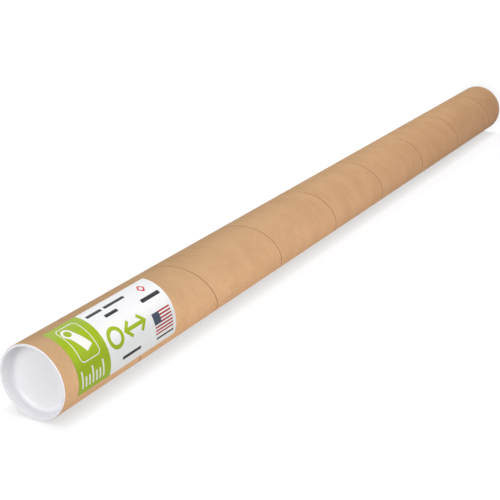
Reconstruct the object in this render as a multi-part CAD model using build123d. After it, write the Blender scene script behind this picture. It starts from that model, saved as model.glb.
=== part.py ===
from build123d import *

import os
from math import ceil, degrees

# A cardboard mailing tube: a spiral-wound paper tube, closed at each end by a
# moulded plastic plug, with one paper label wrapped round the side near its
# top. A round tube rolls when it lies, so it stands on its bottom plug. The
# origin is on the floor on the tube's axis, +Z runs up the tube, and the
# middle of the label faces -Y.

# Driving dimensions, in millimetres and degrees.
INCH = 25.4

# The wound tube
TUBE_LENGTH = 48 * INCH
TUBE_BORE = 3 * INCH
TUBE_WALL = 0.08 * INCH
TUBE_EDGE = 0.25  # what handling wears off the outer edge at each cut end

# The seams: one strip is wound as a helix, and its neighbouring turns leave a
# shallow gutter between them. The liner's strip lies some way behind it.
SEAM_PITCH = 150.0
SEAM_WIDTH = 1.0
SEAM_DEPTH = 0.35
SEAM_START = 98.0  # top end of the tube down to where the seam crosses the front
LINER_SEAM_WIDTH = 0.8
LINER_SEAM_DEPTH = 0.3
LINER_SEAM_LAG = 62.0  # how far the liner's seam lies below the outer one

# The end plug: a flange that stops on the tube's end, a skirt that goes into
# the bore, and a cup inside the skirt that is open to the outside
PLUG_FLANGE = 1.4
PLUG_FLANGE_INSET = 0.3  # the flange stays this far inside the tube's outside
PLUG_CLEARANCE = 0.3  # skirt to bore, all round
PLUG_CUP_DEPTH = 12.0
PLUG_WALL = 0.85
PLUG_FLOOR = 1.2
PLUG_DRAFT = 1.2  # what the cup loses in radius from mouth to floor
PLUG_CUP_CORNER = 2.5
PLUG_LEAD_IN = 4.2  # the slope that starts the plug into the bore
PLUG_LIP = 1.2
PLUG_RIM = 0.5
BEAD_DROP = 2.0  # flange to the bead that grips the bore
BEAD_WIDTH = 2.0
BEAD_HEEL = 0.4  # the bead's steep side, which holds against pulling out
BEAD_CLEARANCE = 0.05  # bead to bore, all round: the plug's fit

# The paper label
LABEL_LENGTH = 164.5
LABEL_WRAP = 80.0  # its other side, measured round the tube
LABEL_SETBACK = 20.0  # from the top end of the tube
LABEL_CORNER = 2.0
LABEL_PAPER = 0.1
LABEL_GLUE = 0.15  # the paste that holds the paper off the board

# Values that follow from them.
bore_radius = TUBE_BORE / 2
tube_radius = bore_radius + TUBE_WALL
tube_foot = PLUG_FLANGE
tube_top = tube_foot + TUBE_LENGTH
label_radius = tube_radius + LABEL_GLUE

skirt_radius = bore_radius - PLUG_CLEARANCE
bead_radius = bore_radius - BEAD_CLEARANCE
flange_radius = tube_radius - PLUG_FLANGE_INSET
mouth_radius = skirt_radius - PLUG_WALL
cup_radius = mouth_radius - PLUG_DRAFT
cup_floor = PLUG_FLANGE - PLUG_CUP_DEPTH
nose_end = cup_floor - PLUG_FLOOR

FRONT = -90.0  # the direction of -Y, as an angle round Z


def seam_threads(inner_radius, outer_radius, width, drop):
    """A square thread that follows the winding past both ends of the tube.

    It comes in half turns, end to end. drop is how far below the tube's top
    end the seam crosses the line that faces the front.
    """
    half_turn = SEAM_PITCH / 2
    overrun = SEAM_PITCH / 8
    start = tube_foot - overrun
    middle_radius = (inner_radius + outer_radius) / 2
    turns_to_front = (tube_top - drop - start) / SEAM_PITCH
    first_angle = FRONT - 360 * turns_to_front
    threads = []
    for number in range(ceil((TUBE_LENGTH + 2 * overrun) / half_turn)):
        path = Edge.make_helix(
            pitch=SEAM_PITCH,
            height=half_turn,
            radius=middle_radius,
            center=(0, 0, start + number * half_turn),
        )
        path = path.rotate(Axis.Z, first_angle + 180 * number)
        begin = path @ 0
        outward = Vector(begin.X, begin.Y, 0).normalized()
        across = Plane(origin=begin, x_dir=outward, z_dir=path % 0)
        section = across * Rectangle(outer_radius - inner_radius, width)
        threads.append(sweep(section.face(), path=path, is_frenet=True))
    return threads


def wound_tube():
    """The paper tube, with the seams of its outer strip and its liner."""
    wall = Cylinder(tube_radius, TUBE_LENGTH) - Cylinder(bore_radius, TUBE_LENGTH)
    wall = Pos(0, 0, tube_foot + TUBE_LENGTH / 2) * wall
    outer_rims = wall.edges().filter_by(GeomType.CIRCLE).sort_by(Edge.length)[-2:]
    wall = chamfer(outer_rims, TUBE_EDGE)
    wall -= seam_threads(
        inner_radius=tube_radius - SEAM_DEPTH,
        outer_radius=tube_radius + SEAM_WIDTH / 2,
        width=SEAM_WIDTH,
        drop=SEAM_START,
    )
    wall -= seam_threads(
        inner_radius=bore_radius - LINER_SEAM_WIDTH / 2,
        outer_radius=bore_radius + LINER_SEAM_DEPTH,
        width=LINER_SEAM_WIDTH,
        drop=SEAM_START + LINER_SEAM_LAG,
    )
    return wall


def plug_section():
    """Half of the plug's section. X is the radius, and Y is the height above
    the tube's end, which the underside of the flange sits on."""
    with BuildSketch() as section:
        with BuildLine():
            # the cup: its floor, its drafted wall, and out over the flange
            Polyline(
                (0, nose_end),
                (0, cup_floor),
                (cup_radius, cup_floor),
                (mouth_radius, PLUG_FLANGE),
                (flange_radius, PLUG_FLANGE),
                (flange_radius, 0),
                (skirt_radius, 0),
            )
            # down the skirt, over its gripping bead, to the nose
            Polyline(
                (skirt_radius, 0),
                (skirt_radius, -BEAD_DROP),
                (bead_radius, -BEAD_DROP - BEAD_HEEL),
                (skirt_radius, -BEAD_DROP - BEAD_WIDTH),
                (skirt_radius, nose_end),
                (0, nose_end),
            )
        make_face()

        def corner(radius, height):
            return section.vertices().sort_by_distance((radius, height))[0]

        chamfer(corner(cup_radius, cup_floor), PLUG_CUP_CORNER)
        chamfer(corner(skirt_radius, nose_end), PLUG_LEAD_IN)
        chamfer(corner(mouth_radius, PLUG_FLANGE), PLUG_LIP)
        chamfer(corner(flange_radius, PLUG_FLANGE), PLUG_RIM)
    return section.sketch


def end_plug():
    """The moulded plug, cup upwards, with its flange's underside at zero."""
    return revolve(Plane.XZ * plug_section(), Axis.Z)


def side_label():
    """A rounded paper rectangle, bent to the outside of the tube."""
    wrap_angle = degrees(LABEL_WRAP / tube_radius)
    middle = tube_top - LABEL_SETBACK - LABEL_LENGTH / 2
    edge = Rectangle(LABEL_PAPER, LABEL_LENGTH)
    edge = Pos(label_radius + LABEL_PAPER / 2, middle) * edge
    sheet = revolve(Plane.XZ * edge, Axis.Z, wrap_angle)
    corners = sheet.edges().sort_by(Edge.length)[:4]
    sheet = fillet(corners, LABEL_CORNER)
    return sheet.rotate(Axis.Z, FRONT - wrap_angle / 2)


tube = wound_tube()
plug = end_plug()
top_cap = Pos(0, 0, tube_top) * plug
bottom_cap = Pos(0, 0, tube_foot) * Rotation(180, 0, 0) * plug
label = side_label()

os.makedirs("parts", exist_ok=True)
export_step(tube, "parts/tube.step")
export_step(top_cap, "parts/top_cap.step")
export_step(bottom_cap, "parts/bottom_cap.step")
export_step(label, "parts/label.step")
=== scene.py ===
# %% [markdown]
# # A cardboard mailing tube
#
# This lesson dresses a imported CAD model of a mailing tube, which stands on its bottom plug.
# The CAD model has the true sizes and the moving plugs. Blender adds what makes it look
# real: the wound paper strip with its seams, the moulded plugs, the printed label, the light
# and the camera.

# %% Load the frame
import math

import bmesh
import bpy
from mathutils import Matrix, Quaternion, Vector


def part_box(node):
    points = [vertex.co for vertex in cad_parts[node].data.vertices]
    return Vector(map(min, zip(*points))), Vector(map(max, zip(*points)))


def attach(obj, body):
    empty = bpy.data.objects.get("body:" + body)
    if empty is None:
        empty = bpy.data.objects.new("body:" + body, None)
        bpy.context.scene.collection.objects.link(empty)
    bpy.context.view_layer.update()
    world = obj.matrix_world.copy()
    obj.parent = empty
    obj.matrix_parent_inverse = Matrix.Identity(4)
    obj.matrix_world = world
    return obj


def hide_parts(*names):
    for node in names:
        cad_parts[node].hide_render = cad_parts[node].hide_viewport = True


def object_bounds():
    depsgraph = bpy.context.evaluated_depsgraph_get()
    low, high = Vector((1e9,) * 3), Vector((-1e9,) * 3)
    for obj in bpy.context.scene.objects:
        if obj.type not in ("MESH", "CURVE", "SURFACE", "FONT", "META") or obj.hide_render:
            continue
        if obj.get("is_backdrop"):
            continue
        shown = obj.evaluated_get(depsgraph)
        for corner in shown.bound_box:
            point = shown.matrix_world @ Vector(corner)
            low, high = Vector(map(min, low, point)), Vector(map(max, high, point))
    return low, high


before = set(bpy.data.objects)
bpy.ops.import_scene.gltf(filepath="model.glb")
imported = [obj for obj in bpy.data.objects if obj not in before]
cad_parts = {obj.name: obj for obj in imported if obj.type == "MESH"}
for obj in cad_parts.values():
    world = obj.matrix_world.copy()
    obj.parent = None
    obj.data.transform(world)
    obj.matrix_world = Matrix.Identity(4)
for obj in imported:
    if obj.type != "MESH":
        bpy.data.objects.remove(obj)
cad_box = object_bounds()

print("nodes:", sorted(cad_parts))
print("box in mm:", [[round(v * 1000, 2) for v in corner] for corner in cad_box])

# %% [markdown]
# Blender opens with a cube, a lamp and a camera of its own. They ride on no part of the
# tube, so they go first.

# %% Clear the startup objects
for name in ("Cube", "Light", "Camera"):
    if name in bpy.data.objects:
        bpy.data.objects.remove(bpy.data.objects[name])
        print("removed", name)

# %% [markdown]
# Every size comes from the CAD model or is a real size of the product. Blender works in
# metres, so a real size is written in millimetres and multiplied by MM.

# %% Sizes of the tube
MM = 0.001
tube_low, tube_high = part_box("tube")
TUBE_RADIUS = (tube_high.x - tube_low.x) / 2
BORE_RADIUS = 38.1 * MM
TUBE_FOOT, TUBE_TOP = tube_low.z, tube_high.z
print("outer radius", round(TUBE_RADIUS / MM, 3), "foot", round(TUBE_FOOT / MM, 2))

# %% [markdown]
# Four small helpers serve every piece. The first turns a colour as a screen shows it,
# 0 to 255, into the linear values that shaders use. The second makes an object from a bmesh
# and smooths it, but keeps an edge crisp where two faces meet at a real corner. The last two
# fill a shader node's inputs with numbers or with links from other nodes, and add a new node
# that is filled like this.

# %% Helpers for colours, meshes and nodes
def srgb(red, green, blue):
    """Screen values from 0 to 255 as a linear colour."""
    linear = []
    for value in (red / 255, green / 255, blue / 255):
        low = value <= 0.04045
        linear.append(value / 12.92 if low else ((value + 0.055) / 1.055) ** 2.4)
    return (*linear, 1.0)


def make_piece(name, bm, materials, crisp=35):
    """An object at the origin from a bmesh, with its place in its mesh."""
    mesh = bpy.data.meshes.new(name)
    bm.to_mesh(mesh)
    bm.free()
    mesh.shade_smooth()
    mesh.set_sharp_from_angle(angle=math.radians(crisp))
    for material in materials:
        mesh.materials.append(material)
    piece = bpy.data.objects.new(name, mesh)
    bpy.context.scene.collection.objects.link(piece)
    return piece


def fill(tree, node, inputs):
    """Fills a node's inputs with numbers or with other nodes' sockets."""
    for name, value in inputs.items():
        if isinstance(value, bpy.types.NodeSocket):
            tree.links.new(value, node.inputs[name])
        else:
            node.inputs[name].default_value = value


def put(tree, kind, inputs=None, **settings):
    """Adds a shader node to a tree and fills its inputs."""
    node = tree.nodes.new("ShaderNode" + kind)
    for name, value in settings.items():
        setattr(node, name, value)
    fill(tree, node, inputs or {})
    return node


print("kraft brown is", [round(v, 3) for v in srgb(205, 163, 120)])

# %% [markdown]
# ## Small steps for shaders
#
# Shader arithmetic is done with Math, Vector Math and Mix nodes. These helpers give back the
# output socket, so one step can be written straight into the next.

# %% Helpers for shader arithmetic
def calc(tree, operation, *values):
    """One Math node. Its inputs are numbers or sockets."""
    return put(tree, "Math", dict(enumerate(values)), operation=operation).outputs[0]


def vector_calc(tree, operation, *values):
    """One Vector Math node, which gives a vector."""
    inputs = dict(enumerate(values))
    return put(tree, "VectorMath", inputs, operation=operation).outputs[0]


def vector_length(tree, vector):
    """How long a vector is."""
    return put(tree, "VectorMath", {0: vector}, operation="LENGTH").outputs["Value"]


def from_axis(tree, place):
    """How far a place is from the tube's axis."""
    return vector_length(tree, vector_calc(tree, "MULTIPLY", place, (1, 1, 0)))


def ramp(tree, value, low, high, out_low=0.0, out_high=1.0):
    """A smooth step from out_low to out_high as the value goes from low to high."""
    inputs = {0: value, 1: low, 2: high, 3: out_low, 4: out_high}
    return put(tree, "MapRange", inputs, interpolation_type="SMOOTHSTEP").outputs[0]


def tint(tree, factor, under, over, mode="MIX"):
    """Mixes two colours by a factor."""
    inputs = {0: factor, 6: under, 7: over}
    return put(tree, "Mix", inputs, data_type="RGBA", blend_type=mode).outputs[2]


def noise(tree, vector, scale, detail):
    """The value of a noise texture."""
    inputs = {"Vector": vector, "Scale": scale, "Detail": detail}
    return put(tree, "TexNoise", inputs).outputs[0]


def bump(tree, height, strength, distance):
    """The normals of a surface that seems to rise with height."""
    inputs = {"Height": height, "Strength": strength, "Distance": distance}
    return put(tree, "Bump", inputs).outputs[0]


print("shader steps ready")

# %% [markdown]
# A pattern that several materials share is a node group. Each material starts from
# Blender's own Principled BSDF.

# %% Helpers for groups and materials
def new_group(name, inputs, outputs):
    """A shader node group, the sockets of what it is given, and its output node."""
    group = bpy.data.node_groups.new(name, "ShaderNodeTree")
    for title, kind, value in inputs:
        socket = group.interface.new_socket(title, in_out="INPUT", socket_type=kind)
        socket.default_value = value
    for title, kind in outputs:
        group.interface.new_socket(title, in_out="OUTPUT", socket_type=kind)
    start = group.nodes.new("NodeGroupInput")
    end = group.nodes.new("NodeGroupOutput")
    return group, start.outputs, end


def use_group(tree, group, inputs):
    """Places a group in a tree and returns its outputs."""
    return put(tree, "Group", inputs, node_tree=group).outputs


def new_material(name):
    """A material, its tree, and the Principled BSDF wired to its output."""
    material = bpy.data.materials.new(name)
    material.use_nodes = True
    tree = material.node_tree
    return material, tree, tree.nodes["Principled BSDF"]


print("groups and materials ready")

# %% [markdown]
# ## Paper, as a node group
#
# Kraft board, the liner inside the tube and the label are all paper. Paper isn't one
# colour: its fibres lie in clouds a few millimetres wide, drawn out a little along the strip
# as it came off the machine, and a fine grain lies over them. A few darker shives of bark
# stay in brown paper. The group gives these as separate values, so that each material can
# use them at its own strength.

# %% The paper group
paper, given, result = new_group(
    "paper_fibres",
    [("Vector", "NodeSocketVector", (0, 0, 0)), ("Draw", "NodeSocketFloat", 2.0)],
    [
        ("Clouds", "NodeSocketFloat"),
        ("Grain", "NodeSocketFloat"),
        ("Shives", "NodeSocketFloat"),
        ("Height", "NodeSocketFloat"),
    ],
)
squeeze = calc(paper, "DIVIDE", 1.0, given["Draw"])
drawn = put(paper, "CombineXYZ", {0: squeeze, 1: 1.0, 2: 1.0}).outputs[0]
flow = vector_calc(paper, "MULTIPLY", given["Vector"], drawn)

broad = noise(paper, flow, 38, 3)
fine = noise(paper, flow, 240, 5)
grain = noise(paper, flow, 1500, 4)
clouds = calc(paper, "MULTIPLY_ADD", broad, 0.6, calc(paper, "MULTIPLY", fine, 0.4))
height = calc(paper, "MULTIPLY_ADD", fine, 0.6, calc(paper, "MULTIPLY", grain, 0.4))

# each cell of the texture draws a number, and only the few high ones leave a speck
long_way = vector_calc(paper, "MULTIPLY", flow, (0.35, 1, 1))
cells = put(
    paper,
    "TexVoronoi",
    {"Vector": long_way, "Scale": 330},
    voronoi_dimensions="2D",
).outputs
number = put(paper, "SeparateColor", {0: cells["Color"]}).outputs[0]
reach = calc(paper, "MULTIPLY", calc(paper, "POWER", number, 6.0), 0.22)
shives = calc(paper, "LESS_THAN", cells["Distance"], reach)

values = {
    "Clouds": ramp(paper, clouds, 0.32, 0.68),
    "Grain": grain,
    "Shives": shives,
    "Height": height,
}
fill(paper, result, values)
print("paper_fibres has", len(paper.nodes), "nodes")

# %% [markdown]
# ## Kraft board, wound as a strip
#
# The tube's outer ply is one strip of brown kraft paper, about 130 mm wide, wound at a slant.
# The fibres run along the strip, so the pattern has to turn round the tube with it. The
# piece therefore carries its own UV map, named "winding": U runs along the strip and V
# across it, both in metres. V also says how far a point is from the strip's edges. The slit
# edge is painted a little lighter: partly the raw fibres where the strip was cut, partly a
# painted highlight where the edge stands up. The gutter between two turns is painted dark,
# partly old glue and partly painted shade of the groove. On a tube this long the seams are
# seen from a metre off and more, so this dark line runs a little wider than the gutter.

# %% The slant of the strip
SEAM_PITCH = 150 * MM
SLANT = math.atan(SEAM_PITCH / (2 * math.pi * TUBE_RADIUS))
STRIP_WIDTH = SEAM_PITCH * math.cos(SLANT)
print("slant", round(math.degrees(SLANT), 1), "strip width", round(STRIP_WIDTH / MM, 1))

# %% The kraft material
def kraft_material(name, dark, light, edge, gutter, gutter_width):
    """Wound kraft paper, with a seam along both edges of the strip."""
    material, tree, shader = new_material(name)
    winding = put(tree, "UVMap", uv_map="winding").outputs[0]
    fibres = use_group(tree, paper, {"Vector": winding, "Draw": 2.4})

    colour = tint(tree, fibres["Clouds"], dark, light)
    grain = ramp(tree, fibres["Grain"], 0.3, 0.7, 0.93, 1.05)
    speckle = put(tree, "CombineColor", {0: grain, 1: grain, 2: grain}).outputs[0]
    colour = tint(tree, 1.0, colour, speckle, "MULTIPLY")
    colour = tint(tree, calc(tree, "MULTIPLY", fibres["Shives"], 0.2), colour, gutter)

    across = put(tree, "SeparateXYZ", {0: winding}).outputs[1]
    to_edge = calc(tree, "MINIMUM", across, calc(tree, "SUBTRACT", STRIP_WIDTH, across))
    # a lighter band beside each gutter: partly raw cut fibres, partly a painted highlight on the
    # raised edge
    raw_edge_and_highlight = ramp(tree, to_edge, gutter_width + 1.3 * MM, gutter_width, 0.0, 0.5)
    colour = tint(tree, raw_edge_and_highlight, colour, edge)
    # a dark line along each gutter: partly old glue, partly painted shade of the groove
    dark_line = ramp(tree, to_edge, gutter_width + 0.08 * MM, gutter_width - 0.08 * MM)
    surface = {
        "Base Color": tint(tree, dark_line, colour, gutter),
        "Roughness": ramp(tree, fibres["Clouds"], 0.0, 1.0, 0.84, 0.7),
        "Specular IOR Level": 0.02,
        "Normal": bump(tree, fibres["Height"], 0.3, 0.05 * MM),
    }
    fill(tree, shader, surface)
    return material


kraft = kraft_material(
    "kraft_outer_ply",
    dark=srgb(200, 164, 124),
    light=srgb(208, 172, 132),
    edge=srgb(218, 186, 147),
    # the dark line in the gutters: old glue and painted shade
    gutter=srgb(150, 116, 86),
    gutter_width=0.75 * MM,
)
liner = kraft_material(
    "kraft_liner_ply",
    dark=srgb(176, 138, 102),
    light=srgb(194, 158, 121),
    edge=srgb(208, 176, 140),
    # the dark line in the liner's gutters: old glue and painted shade
    gutter=srgb(98, 70, 48),
    gutter_width=0.35 * MM,
)
print("made", kraft.name, "and", liner.name)

# %% [markdown]
# A saw cuts the wound tube to length, and the cut shows the plies: six brown layers with
# thin darker lines of glue between them. They are rings round the axis, so the material
# reads the distance from the axis in Object coordinates.

# %% The cut end material
def cut_end_material(name, plies):
    """The sawn end of the board, with its plies as rings."""
    material, tree, shader = new_material(name)
    place = put(tree, "TexCoord").outputs["Object"]
    depth = calc(tree, "SUBTRACT", from_axis(tree, place), BORE_RADIUS)
    layer = calc(tree, "DIVIDE", depth, (TUBE_RADIUS - BORE_RADIUS) / plies)
    fray = noise(tree, place, 700, 4)
    layer = calc(tree, "ADD", layer, calc(tree, "MULTIPLY", fray, 0.18))
    dark_line = ramp(tree, calc(tree, "PINGPONG", layer, 0.5), 0.13, 0.03)
    board = tint(tree, fray, srgb(186, 142, 100), srgb(216, 176, 134))
    rise = calc(tree, "SUBTRACT", fray, calc(tree, "MULTIPLY", dark_line, 0.4))
    surface = {
        "Base Color": tint(tree, calc(tree, "MULTIPLY", dark_line, 0.65), board, srgb(132, 94, 62)),
        "Roughness": 0.92,
        "Normal": bump(tree, rise, 0.5, 0.08 * MM),
    }
    fill(tree, shader, surface)
    return material


cut_end = cut_end_material("kraft_cut_end", plies=6)
print("made", cut_end.name)

# %% [markdown]
# ## The wound tube
#
# A plain cylinder with a drawn line would look flat. The real surface is a strip that goes
# round and up, so it is made the same way here. A short profile runs from the middle of one
# gutter, over the strip, to the middle of the next.

# %% The strip's profile
SEAM_WIDTH, SEAM_DEPTH = 1.0 * MM, 0.35 * MM
LINER_SEAM_WIDTH, LINER_SEAM_DEPTH = 0.8 * MM, 0.3 * MM


def strip_profile(width, depth):
    """The depth and the height of each point, from gutter to gutter."""
    half = width / 2
    slope = 0.02 * MM  # the gutter's sides lean outwards
    lip = depth * 0.4  # what is worn off their upper edge
    margin = 1.2 * MM  # a first flat step, which keeps the strip's shading level
    climb = [
        (depth, 0.0),
        (depth, half),
        (lip, half + slope),
        (0.0, half + lip),
        (0.0, half + margin),
    ]
    return climb + [(sink, SEAM_PITCH - rise) for sink, rise in reversed(climb)]


outer_strip = strip_profile(SEAM_WIDTH, SEAM_DEPTH)
liner_strip = strip_profile(LINER_SEAM_WIDTH, LINER_SEAM_DEPTH)
print("each strip has", len(outer_strip), "points from gutter to gutter")

# %% [markdown]
# A spin that also climbs, by dvec in each step, winds this profile once round. One turn is
# enough to wind: its copies, each a pitch higher, go on where it ends, because the whole
# pattern repeats. The doubled points in the gutters are merged. FRONT is where the middle of
# the label looks, as an angle round the tube's axis, and a drop is how far below the tube's
# top end a seam crosses the line that faces this way.

# %% Wind both skins of the tube
FRONT = math.radians(-90)
SEAM_DROP, LINER_DROP = 98 * MM, 160 * MM
STEPS = 144  # flat sides in a full circle


def wound_skin(radius, inwards, profile, drop):
    """A skin of wound strip. inwards is -1 for a gutter cut towards the axis."""
    start = TUBE_TOP - drop
    while start > TUBE_FOOT - SEAM_PITCH:
        start -= SEAM_PITCH
    turns = math.ceil((TUBE_TOP - start) / SEAM_PITCH)

    bm = bmesh.new()
    line = []
    for sink, rise in profile:
        reach = radius + inwards * sink
        place = (reach * math.cos(FRONT), reach * math.sin(FRONT), start + rise)
        line.append(bm.verts.new(place))
    edges = [bm.edges.new(pair) for pair in zip(line, line[1:])]
    bmesh.ops.spin(
        bm,
        geom=line + edges,
        cent=(0, 0, 0),
        axis=(0, 0, 1),
        dvec=(0, 0, SEAM_PITCH / STEPS),
        angle=2 * math.pi,
        steps=STEPS,
    )
    first_turn = bm.verts[:] + bm.edges[:] + bm.faces[:]
    for number in range(1, turns):
        copy = bmesh.ops.duplicate(bm, geom=first_turn)["geom"]
        verts = [item for item in copy if isinstance(item, bmesh.types.BMVert)]
        bmesh.ops.translate(bm, vec=(0, 0, number * SEAM_PITCH), verts=verts)
    bmesh.ops.remove_doubles(bm, verts=bm.verts[:], dist=0.004 * MM)
    return bm


outer_skin = wound_skin(TUBE_RADIUS, -1, outer_strip, SEAM_DROP)
inner_skin = wound_skin(BORE_RADIUS, 1, liner_strip, LINER_DROP)
print("outer skin", len(outer_skin.faces), "faces, liner", len(inner_skin.faces))

# %% [markdown]
# Both skins are longer than the tube. A cut at each end makes the length true, less what the
# rounding of the rims will add, and then both go into one bmesh.

# %% Cut the skins and join them
EDGE_WEAR = 0.25 * MM
ROUNDING_STARTS = ((TUBE_TOP - EDGE_WEAR, 1), (TUBE_FOOT + EDGE_WEAR, -1))

wall = bmesh.new()
for skin in (outer_skin, inner_skin):
    for height, upwards in ROUNDING_STARTS:
        bmesh.ops.bisect_plane(
            skin,
            geom=skin.verts[:] + skin.edges[:] + skin.faces[:],
            dist=0.0005 * MM,
            plane_co=(0, 0, height),
            plane_no=(0, 0, upwards),
            clear_outer=True,
        )
    passing = bpy.data.meshes.new("passing")
    skin.to_mesh(passing)
    wall.from_mesh(passing)
    skin.free()
    bpy.data.meshes.remove(passing)
print("both skins", len(wall.faces), "faces")

# %% [markdown]
# At each end the two open rims are drawn out and rounded a little, as handling rounds them,
# and then the flat ring of the sawn end is filled between them. Bridging the rims would
# twist, because their gutters meet the end in different places and the two loops don't have
# the same count; a fill between two loops in one plane can't. The result is one closed wall,
# so its normals can be recalculated safely.

# %% Close the wall at both ends
def rim_edges(bm, height, radius):
    """The open edges of one skin at one end."""
    near = 0.8 * MM  # less than half the wall's thickness
    rim = []
    for edge in bm.edges:
        middle = (edge.verts[0].co + edge.verts[1].co) / 2
        level = all(abs(vert.co.z - height) < 0.01 * MM for vert in edge.verts)
        close = abs(middle.to_2d().length - radius) < near
        if edge.is_boundary and level and close:
            rim.append(edge)
    return rim


def round_rim(bm, rim, upwards, inwards, radius):
    """Draws a rim out in three steps round a quarter circle."""
    reach, rise = radius, 0.0
    for step in (1, 2, 3):
        angle = math.radians(30 * step)
        new_rise = EDGE_WEAR * math.sin(angle)
        new_reach = radius + inwards * EDGE_WEAR * (1 - math.cos(angle))
        drawn = bmesh.ops.extrude_edge_only(bm, edges=rim)["geom"]
        verts = [item for item in drawn if isinstance(item, bmesh.types.BMVert)]
        rim = [item for item in drawn if isinstance(item, bmesh.types.BMEdge)]
        scale = new_reach / reach
        bmesh.ops.scale(bm, vec=(scale, scale, 1), verts=verts)
        bmesh.ops.translate(bm, vec=(0, 0, upwards * (new_rise - rise)), verts=verts)
        reach, rise = new_reach, new_rise
    return rim


for height, upwards in ROUNDING_STARTS:
    outer_rim = rim_edges(wall, height, TUBE_RADIUS)
    inner_rim = rim_edges(wall, height, BORE_RADIUS)
    outer_rim = round_rim(wall, outer_rim, upwards, -1, TUBE_RADIUS)
    inner_rim = round_rim(wall, inner_rim, upwards, 1, BORE_RADIUS)
    ring = bmesh.ops.triangle_fill(
        wall,
        edges=outer_rim + inner_rim,
        use_beauty=True,
        normal=(0, 0, upwards),
    )
    faces = [item for item in ring["geom"] if isinstance(item, bmesh.types.BMFace)]
    print("end ring has", len(faces), "faces")

bmesh.ops.recalc_face_normals(wall, faces=wall.faces[:])
open_edges = sum(1 for edge in wall.edges if not edge.is_manifold)
print("wall", len(wall.faces), "faces,", open_edges, "open edges")

# %% [markdown]
# The winding map is worked out face by face. The middle of a face tells which turn of the
# strip it lies on, and then each of its corners is placed along and across that strip. The
# same pass gives each face its material: outer ply, liner, or sawn end.

# %% The winding map
def lay_winding(bm, layer):
    """Writes the UV map that runs along the strip, and sets the materials."""
    for face in bm.faces:
        middle = face.calc_center_median()
        inside = middle.to_2d().length < (TUBE_RADIUS + BORE_RADIUS) / 2
        sawn = abs(face.normal.z) > 0.5
        face.material_index = 2 if sawn else 1 if inside else 0
        base = TUBE_TOP - (LINER_DROP if inside else SEAM_DROP)
        centre_turn = (math.atan2(middle.y, middle.x) - FRONT) / (2 * math.pi) % 1.0
        number = math.floor((middle.z - base) / SEAM_PITCH - centre_turn)
        for loop in face.loops:
            place = loop.vert.co
            turn = (math.atan2(place.y, place.x) - FRONT) / (2 * math.pi)
            turn += round(centre_turn - turn)
            rise = place.z - base - (turn + number) * SEAM_PITCH
            round_way = 2 * math.pi * TUBE_RADIUS * (turn + number)
            along = round_way / math.cos(SLANT) + rise * math.sin(SLANT)
            loop[layer].uv = (along, rise * math.cos(SLANT))


lay_winding(wall, wall.loops.layers.uv.new("winding"))
tube = make_piece("wound_tube", wall, [kraft, liner, cut_end], crisp=40)
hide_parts("tube")
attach(tube, "tube_body")
print(tube.name, len(tube.data.polygons), "faces")

# %% [markdown]
# ## The plugs
#
# Each plug is one moulding of white polyethylene: a cup that sits in the tube, with a narrow
# flange that stops on the tube's end. The cup's mouth flares, so that fingers find it, and a
# low bead round the skirt grips the bore. Heights are measured from the flange's underside.

# %% Section of the plug
CAP_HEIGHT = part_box("top_cap")[1].z - TUBE_TOP
FLANGE_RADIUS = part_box("top_cap")[1].x
SKIRT_RADIUS = BORE_RADIUS - 0.3 * MM  # less the room to slide in
BEAD_RADIUS = BORE_RADIUS - 0.05 * MM
MOUTH_RADIUS = SKIRT_RADIUS - 0.85 * MM  # less the plastic's thickness
CUP_RADIUS = MOUTH_RADIUS - 1.2 * MM  # less the draft of the mould
CUP_FLOOR = CAP_HEIGHT - 12.0 * MM
NOSE_END = CUP_FLOOR - 1.2 * MM  # less the floor's thickness
FLARE_START = CAP_HEIGHT - 5.0 * MM
LEAD_IN = 4.2 * MM  # the slope that starts the plug into the bore

# radius, height, and the rounding of each corner in millimetres
PLUG_SECTION = [
    (0.0, CUP_FLOOR, 0),
    (CUP_RADIUS - 0.35 * MM, CUP_FLOOR, 4.2),
    (CUP_RADIUS + 0.05 * MM, FLARE_START, 2.0),
    (MOUTH_RADIUS + 0.35 * MM, CAP_HEIGHT, 0.6),
    (FLANGE_RADIUS, CAP_HEIGHT, 0.55),
    (FLANGE_RADIUS, 0.0, 0.12),
    (SKIRT_RADIUS, 0.0, 0),
    (SKIRT_RADIUS, -2.0 * MM, 0.1),
    (BEAD_RADIUS, -2.4 * MM, 0.15),
    (SKIRT_RADIUS, -4.0 * MM, 0.3),
    (SKIRT_RADIUS, NOSE_END + LEAD_IN, 1.2),
    (SKIRT_RADIUS - LEAD_IN, NOSE_END, 1.2),
    (0.0, NOSE_END, 0),
]
plug_height = (CAP_HEIGHT - NOSE_END) / MM
print("plug", round(FLANGE_RADIUS / MM, 2), "mm radius,", round(plug_height, 1), "mm tall")

# %% [markdown]
# A moulding has hardly a sharp corner, so the section is drawn with plain corners, each one
# that shows is rounded by its own radius with a bevel on its point, and the section is spun
# full circle.

# %% Spin the plug
def round_points(bm, points, radius, segments):
    """Rounds corner points of a flat outline."""
    bmesh.ops.bevel(
        bm,
        geom=points,
        offset=radius,
        offset_type="OFFSET",
        segments=segments,
        profile=0.5,
        affect="VERTICES",
        material=-1,
    )


def moulded_plug():
    """The plug with its flange's underside at height 0, cup upwards."""
    bm = bmesh.new()
    corners = [bm.verts.new((radius, 0, height)) for radius, height, _ in PLUG_SECTION]
    for pair in zip(corners, corners[1:]):
        bm.edges.new(pair)
    for corner, (_, _, rounding) in zip(corners, PLUG_SECTION):
        if rounding:
            round_points(bm, [corner], rounding * MM, 6)
    bmesh.ops.spin(
        bm,
        geom=bm.verts[:] + bm.edges[:],
        cent=(0, 0, 0),
        axis=(0, 0, 1),
        angle=2 * math.pi,
        steps=STEPS,
        use_merge=True,
    )
    bmesh.ops.remove_doubles(bm, verts=bm.verts[:], dist=0.001 * MM)
    bmesh.ops.recalc_face_normals(bm, faces=bm.faces[:])
    return bm


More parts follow.
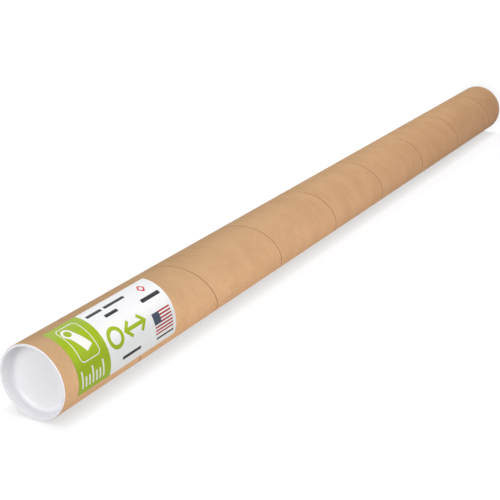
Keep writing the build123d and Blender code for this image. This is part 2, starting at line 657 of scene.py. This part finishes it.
trial = moulded_plug()
open_edges = sum(1 for edge in trial.edges if not edge.is_manifold)
print("plug", len(trial.faces), "faces,", open_edges, "open edges")
trial.free()

# %% [markdown]
# The plastic is natural white polyethylene, which lets a little light into its surface. The
# floor of the cup has the soft grain of a sand-blasted mould, and its wall and flange came
# off polished steel, so the distance from the axis chooses the gloss. Fine rubs from
# handling break the sheen here and there.

# %% The plug's plastic
def plug_material(name):
    """White moulded polyethylene."""
    material, tree, shader = new_material(name)
    place = put(tree, "TexCoord").outputs["Object"]
    haze = noise(tree, place, 60, 3)
    grain = noise(tree, place, 2200, 2)
    stretched = put(tree, "Mapping", {0: place, 3: (900, 60, 300)}).outputs[0]
    rubbed = ramp(tree, noise(tree, stretched, 1.0, 2), 0.6, 0.72)
    rough = ramp(tree, from_axis(tree, place), CUP_RADIUS - 1 * MM, CUP_RADIUS, 0.42, 0.18)
    surface = {
        "Base Color": tint(tree, haze, srgb(229, 228, 232), srgb(234, 233, 237)),
        "Roughness": calc(tree, "ADD", rough, calc(tree, "MULTIPLY", rubbed, 0.1)),
        "Subsurface Weight": 0.2,
        "Subsurface Radius": (1.0, 0.95, 0.9),
        "Subsurface Scale": 1.5 * MM,
        "IOR": 1.51,
        "Normal": bump(tree, grain, 0.12, 0.02 * MM),
    }
    fill(tree, shader, surface)
    return material


plastic = plug_material("white_polyethylene")
print("made", plastic.name)

# %% [markdown]
# The same moulding closes both ends. The bottom one is turned over, and the mesh itself is
# turned, so that its object stays at the origin.

# %% Place both plugs
def place_plug(name, node, body, turn, height):
    """Puts a plug in one end of the tube."""
    bm = moulded_plug()
    move = Matrix.Translation((0, 0, height)) @ Matrix.Rotation(turn, 4, "X")
    bmesh.ops.transform(bm, matrix=move, verts=bm.verts[:])
    piece = make_piece(name, bm, [plastic], crisp=50)
    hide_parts(node)
    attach(piece, body)
    print(piece.name, len(piece.data.polygons), "faces")


place_plug("top_plug_moulding", "top_cap", "top_plug", 0, TUBE_TOP)
place_plug("bottom_plug_moulding", "bottom_cap", "bottom_plug", math.pi, TUBE_FOOT)

# %% [markdown]
# ## The label
#
# The label is a sheet of satin paper, pasted on. It starts as a flat grid, because a flat
# sheet is easy to measure: its four corner points are rounded as the plug's were, its UV map
# is laid in millimetres, and only then is it bent round the tube and given its thickness. U
# runs down from the edge nearest the top plug, and V runs round the tube.

# %% Cut and bend the label
label_low, label_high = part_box("label")
LABEL_LENGTH = label_high.z - label_low.z
LABEL_OUTSIDE = -label_low.y
HALF_WRAP = math.asin(label_high.x / LABEL_OUTSIDE)
LABEL_WIDTH = 2 * HALF_WRAP * TUBE_RADIUS
LABEL_CORNER = 2.0 * MM
PAPER_THICKNESS = 0.1 * MM


def label_sheet():
    """The label's paper, flat at first, then bent to the tube."""
    bm = bmesh.new()
    bmesh.ops.create_grid(bm, x_segments=48, y_segments=6, size=0.5)
    stretch = Matrix.Diagonal((LABEL_WIDTH, LABEL_LENGTH, 1, 1))
    bmesh.ops.transform(bm, matrix=stretch, verts=bm.verts[:])
    corners = [vert for vert in bm.verts if len(vert.link_edges) == 2]
    round_points(bm, corners, LABEL_CORNER, 5)
    layer = bm.loops.layers.uv.new("print")
    for face in bm.faces:
        for loop in face.loops:
            across, up, _ = loop.vert.co
            loop[layer].uv = ((LABEL_LENGTH / 2 - up) / MM, (LABEL_WIDTH / 2 - across) / MM)
    middle = (label_low.z + label_high.z) / 2
    for vert in bm.verts:
        across, up, _ = vert.co
        angle = FRONT + across / TUBE_RADIUS
        vert.co = (LABEL_OUTSIDE * math.cos(angle), LABEL_OUTSIDE * math.sin(angle), middle + up)
    bmesh.ops.recalc_face_normals(bm, faces=bm.faces[:])
    front = min(bm.faces, key=lambda face: face.calc_center_median().y)
    if front.normal.y > 0:
        bmesh.ops.reverse_faces(bm, faces=bm.faces[:])
    bmesh.ops.solidify(bm, geom=bm.faces[:], thickness=PAPER_THICKNESS)
    return bm


sheet = label_sheet()
radii = sorted(vert.co.to_2d().length / MM for vert in sheet.verts)
print("label", round(LABEL_LENGTH / MM, 1), "by", round(LABEL_WIDTH / MM, 1), "mm,",
      "radius", round(radii[0], 3), "to", round(radii[-1], 3))

# %% [markdown]
# ## Printing without a picture
#
# The print is drawn by the shader. Every mark is a rounded box: a bar, a frame, a disc, an
# arrow's stroke. One node group draws such a box anywhere on the sheet. It moves and turns
# the sheet's coordinates to the box's own middle, measures how far a point is outside the
# rounded box, and turns that distance into a mask with a thin soft edge, as ink has.

# %% The ink patch group
patch, given, result = new_group(
    "ink_patch",
    [
        ("Vector", "NodeSocketVector", (0, 0, 0)),
        ("Centre", "NodeSocketVector", (0, 0, 0)),
        ("Size", "NodeSocketVector", (10, 10, 0)),
        ("Corner", "NodeSocketFloat", 0.5),
        ("Turn", "NodeSocketFloat", 0.0),
    ],
    [("Mask", "NodeSocketFloat")],
)
moved = vector_calc(patch, "SUBTRACT", given["Vector"], given["Centre"])
turned = put(
    patch,
    "VectorRotate",
    {"Vector": moved, "Angle": given["Turn"]},
    rotation_type="Z_AXIS",
).outputs[0]
half = vector_calc(patch, "MULTIPLY", given["Size"], (0.5, 0.5, 0))
beyond = vector_calc(patch, "SUBTRACT", vector_calc(patch, "ABSOLUTE", turned), half)
grown = vector_calc(patch, "ADD", beyond, given["Corner"])
parts = put(patch, "SeparateXYZ", {0: grown}).outputs
right = calc(patch, "MAXIMUM", parts[0], 0.0)
above = calc(patch, "MAXIMUM", parts[1], 0.0)
outside = vector_length(patch, put(patch, "CombineXYZ", {0: right, 1: above}).outputs[0])
inside = calc(patch, "MINIMUM", calc(patch, "MAXIMUM", parts[0], parts[1]), 0.0)
distance = calc(patch, "SUBTRACT", calc(patch, "ADD", outside, inside), given["Corner"])
fill(patch, result, {"Mask": ramp(patch, distance, 0.1, -0.1)})
print("ink_patch has", len(patch.nodes), "nodes")

# %% [markdown]
# ## What is printed
#
# The layout is a plain shipping label: a green band with a framed sign for a tube and a row
# of rule marks, a few dark bars, a ring and a double arrow for width and length, a small red
# diamond, and a block of stripes with a plain corner. Each mark is a place on the sheet in
# millimetres.

# %% The marks, by ink
# centre along, centre round, length, width, corner, turn in degrees
BAND = [(25.0, 40.0, 50.0, 100.0, 0.1, 0)]
FRAME_OUTER = [(24.8, 27.5, 29.6, 43.8, 5.5, 0)]
FRAME_INNER = [(24.8, 27.5, 27.8, 42.0, 4.7, 0)]
TUBE_SIGN = [
    (24.0, 27.0, 11.5, 26.0, 1.2, 24),
    (18.8, 16.0, 13.5, 13.5, 6.75, 0),
]
TUBE_SIGN_BORE = [(18.8, 16.0, 8.6, 8.6, 4.3, 0)]
RULE_MARKS = []
for number in range(7):  # the first mark and every third one after it are long
    middle, length = (64.6, 18.5) if number % 3 == 0 else (68.0, 11.5)
    RULE_MARKS.append((6.0 + 5.4 * number, middle, 2.2, length, 0.5, 0))
DARK_BARS = [
    (66.5, 10.5, 24.0, 3.8, 0.8, 0),
    (99.5, 10.5, 34.0, 3.8, 0.8, 0),
    (82.7, 20.5, 20.5, 3.8, 0.8, 0),
    (85.0, 68.6, 31.0, 3.6, 0.8, 0),
    (142.5, 26.6, 32.0, 4.6, 0.9, 0),
    (144.3, 72.0, 31.0, 2.4, 0.6, 0),
]
RING_OUTER = [(66.5, 44.4, 24.0, 24.0, 12.0, 0)]
RING_INNER = [(66.5, 44.4, 15.0, 15.0, 7.5, 0)]
ARROW = [
    (99.0, 44.4, 30.0, 4.2, 0.5, 0),
    (86.6, 40.7, 13.5, 4.0, 0.5, 45),
    (86.6, 48.1, 13.5, 4.0, 0.5, -45),
    (111.4, 40.7, 13.5, 4.0, 0.5, -45),
    (111.4, 48.1, 13.5, 4.0, 0.5, 45),
]
DIAMOND_OUTER = [(143.5, 12.8, 8.4, 8.4, 1.6, 45)]
DIAMOND_INNER = [(143.5, 12.8, 4.6, 4.6, 1.0, 45)]
STRIPES = [(143.3, 44.7 + 3.6 * number, 31.5, 1.8, 0.1, 0) for number in range(7)]
CORNER_FIELD = [(133.5, 50.1, 12.0, 12.6, 0.1, 0)]
print("bars", len(DARK_BARS), "rule marks", len(RULE_MARKS), "stripes", len(STRIPES))

# %% [markdown]
# The sheet is satin white paper, and the inks lie on it one over another: first the green
# band, then what is white in it, then the dark, green and red marks. Last, a painted shade is
# laid over everything on the sheet's lower side, from about the middle on: the shade that
# falls on that side of the tube, painted into the colour as a grey gradient along V, so it
# stays there in every light. The grey is a little cool, to make up for the warm lamps that
# reach that side.

# %% The label's material
def label_material(name):
    """Satin paper with its print, and a painted shade towards its lower side."""
    material, tree, shader = new_material(name)
    sheet_place = put(tree, "UVMap", uv_map="print").outputs[0]
    metres = put(tree, "VectorMath", {0: sheet_place, 3: MM}, operation="SCALE").outputs[0]
    fibres = use_group(tree, paper, {"Vector": metres, "Draw": 1.4})

    def mask(marks):
        """One mask for a list of marks."""
        covered = 0.0
        for along, round_way, length, width, corner, turn in marks:
            values = {
                "Vector": sheet_place,
                "Centre": (along, round_way, 0),
                "Size": (length, width, 0),
                "Corner": corner,
                "Turn": math.radians(turn),
            }
            covered = calc(tree, "MAXIMUM", covered, use_group(tree, patch, values)["Mask"])
        return covered

    def cut_out(shape, hole):
        """The mask of a shape without its hole."""
        return calc(tree, "MULTIPLY", mask(shape), calc(tree, "SUBTRACT", 1.0, mask(hole)))

    green = tint(tree, fibres["Clouds"], srgb(153, 181, 0), srgb(158, 187, 0))
    white = srgb(242, 244, 240)
    inks = [
        (mask(BAND), green),
        (cut_out(FRAME_OUTER, FRAME_INNER), white),
        (cut_out(TUBE_SIGN, TUBE_SIGN_BORE), white),
        (mask(RULE_MARKS), white),
        (mask(DARK_BARS), srgb(34, 37, 46)),
        (cut_out(RING_OUTER, RING_INNER), green),
        (mask(ARROW), green),
        (cut_out(DIAMOND_OUTER, DIAMOND_INNER), srgb(205, 22, 40)),
        (mask(STRIPES), srgb(172, 14, 32)),
        (mask(CORNER_FIELD), srgb(60, 70, 92)),
    ]
    colour = tint(tree, fibres["Clouds"], srgb(238, 243, 246), srgb(243, 248, 251))
    for covered, ink in inks:
        colour = tint(tree, covered, colour, ink)
    # painted shade: the sheet turns greyer towards its lower side, where shade falls
    painted_shade = ramp(tree, put(tree, "SeparateXYZ", {0: sheet_place}).outputs[1], 30, 58)
    surface = {
        "Base Color": tint(tree, painted_shade, colour, srgb(214, 219, 217), "MULTIPLY"),
        "Roughness": ramp(tree, fibres["Grain"], 0.3, 0.7, 0.42, 0.5),
        "Specular IOR Level": 0.25,
        "Normal": bump(tree, fibres["Height"], 0.15, 0.02 * MM),
    }
    fill(tree, shader, surface)
    print(name, "has", len(tree.nodes), "nodes")
    return material


label = make_piece("side_label", sheet, [label_material("satin_label")], crisp=50)
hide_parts("label")
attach(label, "tube_body")

# %% [markdown]
# ## The stage
#
# The tube stands, because it would roll off a table on its side. The picture that this scene
# answers shows it lying, from above its labelled end. Seen from the tube, a table under a
# lying tube is a wall that touches the standing one, so the stage has both: a pale floor
# under the plug, and a pale wall along the tube's back that takes the soft shadow. Near the
# tube they keep its shadow, and further off they turn plain white. Both are one-sided. From
# behind, or from below, they are clear, and they cast no shadow and throw no light, so the
# tube is lit alike from every side.

# %% Floor and wall
STAGE_REACH = 12
STAGE_GREY = (0.14, 0.155, 0.17, 1)  # what the lamps light, beside the stage's own glow
SHADOW_REACH = 19 * MM  # how far off the tube still shades the stage
GREY_UNTIL, WHITE_FROM = 0.3, 1.6  # metres from the tube's axis
TABLE_SIDE = math.radians(-36)
AWAY = Vector((math.cos(TABLE_SIDE), math.sin(TABLE_SIDE), 0))


def pale_material(name, contact):
    """A one-sided white surface that keeps a soft shadow where the tube touches it."""
    material, tree, shader = new_material(name)
    tree.nodes.remove(shader)
    open_air = put(tree, "AmbientOcclusion", {"Distance": SHADOW_REACH}, samples=16).outputs["AO"]
    closed = calc(tree, "SUBTRACT", 1.0, open_air)
    away = from_axis(tree, put(tree, "TexCoord").outputs["Object"])
    plain = ramp(tree, away, GREY_UNTIL, WHITE_FROM, 0.9, 1.0)
    glow = calc(tree, "SUBTRACT", plain, calc(tree, "MULTIPLY", closed, contact))
    white = put(tree, "Emission", {"Color": (1, 1, 1, 1), "Strength": glow}).outputs[0]
    lit = put(tree, "BsdfDiffuse", {"Color": STAGE_GREY}).outputs[0]
    seen = put(tree, "AddShader", {0: lit, 1: white}).outputs[0]
    clear = put(tree, "BsdfTransparent").outputs[0]
    back = put(tree, "NewGeometry").outputs["Backfacing"]
    one_sided = put(tree, "MixShader", {0: back, 1: seen, 2: clear}).outputs[0]
    fill(tree, tree.nodes["Material Output"], {"Surface": one_sided})
    return material


def stage_sheet(name, material, move):
    """A large flat sheet of the stage."""
    bm = bmesh.new()
    bmesh.ops.create_grid(bm, x_segments=1, y_segments=1, size=STAGE_REACH)
    bmesh.ops.transform(bm, matrix=move, verts=bm.verts[:])
    sheet = make_piece(name, bm, [material])
    sheet.visible_shadow = False
    sheet.visible_diffuse = False
    sheet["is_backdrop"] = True


stage_sheet("floor", pale_material("pale_floor", 0.2), Matrix.Identity(4))
upright = AWAY.to_track_quat("Z", "Y").to_matrix().to_4x4()
wall_place = Matrix.Translation(-AWAY * TUBE_RADIUS) @ upright
stage_sheet("wall", pale_material("pale_wall", 0.36), wall_place)
print("the wall faces", [round(v, 3) for v in AWAY])

# %% [markdown]
# ## Light
#
# The surround gives a dim, even light. The camera, and anything shiny, sees it as plain
# white.

# %% World
SURROUND_LIGHT = 0.17  # white is 1

world = bpy.data.worlds.new("studio")
bpy.context.scene.world = world
world.use_nodes = True
tree = world.node_tree
tree.nodes.clear()
ray = put(tree, "LightPath").outputs
seen = calc(tree, "MAXIMUM", ray["Is Camera Ray"], ray["Is Glossy Ray"])
seen = calc(tree, "MAXIMUM", seen, ray["Is Transmission Ray"])
soft = put(tree, "Background", {"Color": (1, 1, 1, 1), "Strength": SURROUND_LIGHT})
white = put(tree, "Background", {"Color": (1, 1, 1, 1), "Strength": 1.0})
mixed = put(tree, "MixShader", {0: seen, 1: soft.outputs[0], 2: white.outputs[0]}).outputs[0]
put(tree, "OutputWorld", {"Surface": mixed})
print(world.name, "has", len(tree.nodes), "nodes")

# %% [markdown]
# Six soft lamps stand about a metre off. A tube is a long thing to light evenly, so the
# lamps stand round it and along it. The key lamp hangs over the top end, the front lamp
# shines on the label and a little way into the cup, and a low front lamp and a foot lamp
# carry the light down to the other end. The side and back lamps keep the far side readable.
# The low front and side lamps are warm, because brown board turns redder as it turns away
# from the light. Their strengths are low enough that each colour renders about as it is
# written.

# %% Lamps
def lamp(name, place, aim, size, power, colour=(1, 1, 1)):
    """A soft lamp of a given width and height, turned to its aim."""
    light = bpy.data.lights.new(name, "AREA")
    light.shape = "RECTANGLE"
    light.size, light.size_y = size
    light.energy = power
    light.color = colour
    holder = bpy.data.objects.new(name, light)
    bpy.context.scene.collection.objects.link(holder)
    holder.location = place
    direction = Vector(aim) - Vector(place)
    holder.rotation_mode = "QUATERNION"
    holder.rotation_quaternion = direction.to_track_quat("-Z", "Y")
    print(name, power, "W at", round(direction.length, 2), "m")


WARM = (1.0, 0.68, 0.60)
lamp("key", (0.44, 0.05, 2.20), (0, 0, 1.20), (0.9, 0.9), 10.3)
lamp("front", (-0.37, -1.14, 1.27), (0, 0, 1.10), (1.0, 1.0), 12.4)
lamp("low_front", (0.10, -1.20, 0.25), (0, 0, 0.25), (0.8, 0.8), 5.0, WARM)
lamp("foot", (1.20, -0.10, 0.25), (0, 0, 0.25), (1.0, 1.0), 8.8)
lamp("side", (-1.15, -0.06, 1.00), (0, 0, 1.00), (0.8, 0.4), 4.2, WARM)
lamp("back", (-0.41, 1.13, 0.80), (0, 0, 0.80), (1.0, 1.0), 12)

# %% [markdown]
# ## Camera
#
# The camera stands where the photograph was taken: above the labelled end and in front of
# the label. It is turned about its own line of sight, so that the standing tube lies across
# the picture as the real one did.

# %% Camera
camera_data = bpy.data.cameras.new("camera")
camera_data.sensor_width = 36
camera_data.lens = 81.785
camera_data.clip_start = 0.01
camera = bpy.data.objects.new("camera", camera_data)
bpy.context.scene.collection.objects.link(camera)
bpy.context.scene.camera = camera

eye = Vector((0.02227, -0.84274, 1.94360))
look = Vector((-0.016958, 0.598088, -0.801251))
lean = math.radians(-121.70)
camera.location = eye
camera.rotation_mode = "QUATERNION"
camera.rotation_quaternion = look.to_track_quat("-Z", "Y") @ Quaternion((0, 0, 1), lean)
bpy.context.scene.view_settings.view_transform = "Standard"
print("camera turned", round(math.degrees(lean), 1), "degrees about its line of sight")

# %% [markdown]
# ## Finish
#
# The dressed tube has to stay the size of the CAD model, so both boxes are printed side by
# side.

# %% Print both boxes
visual_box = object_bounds()
boxes = {
    "cad": [list(corner) for corner in cad_box],
    "visual": [list(corner) for corner in visual_box],
}
for name, box in boxes.items():
    print(name, [[round(v * 1000, 2) for v in corner] for corner in box])
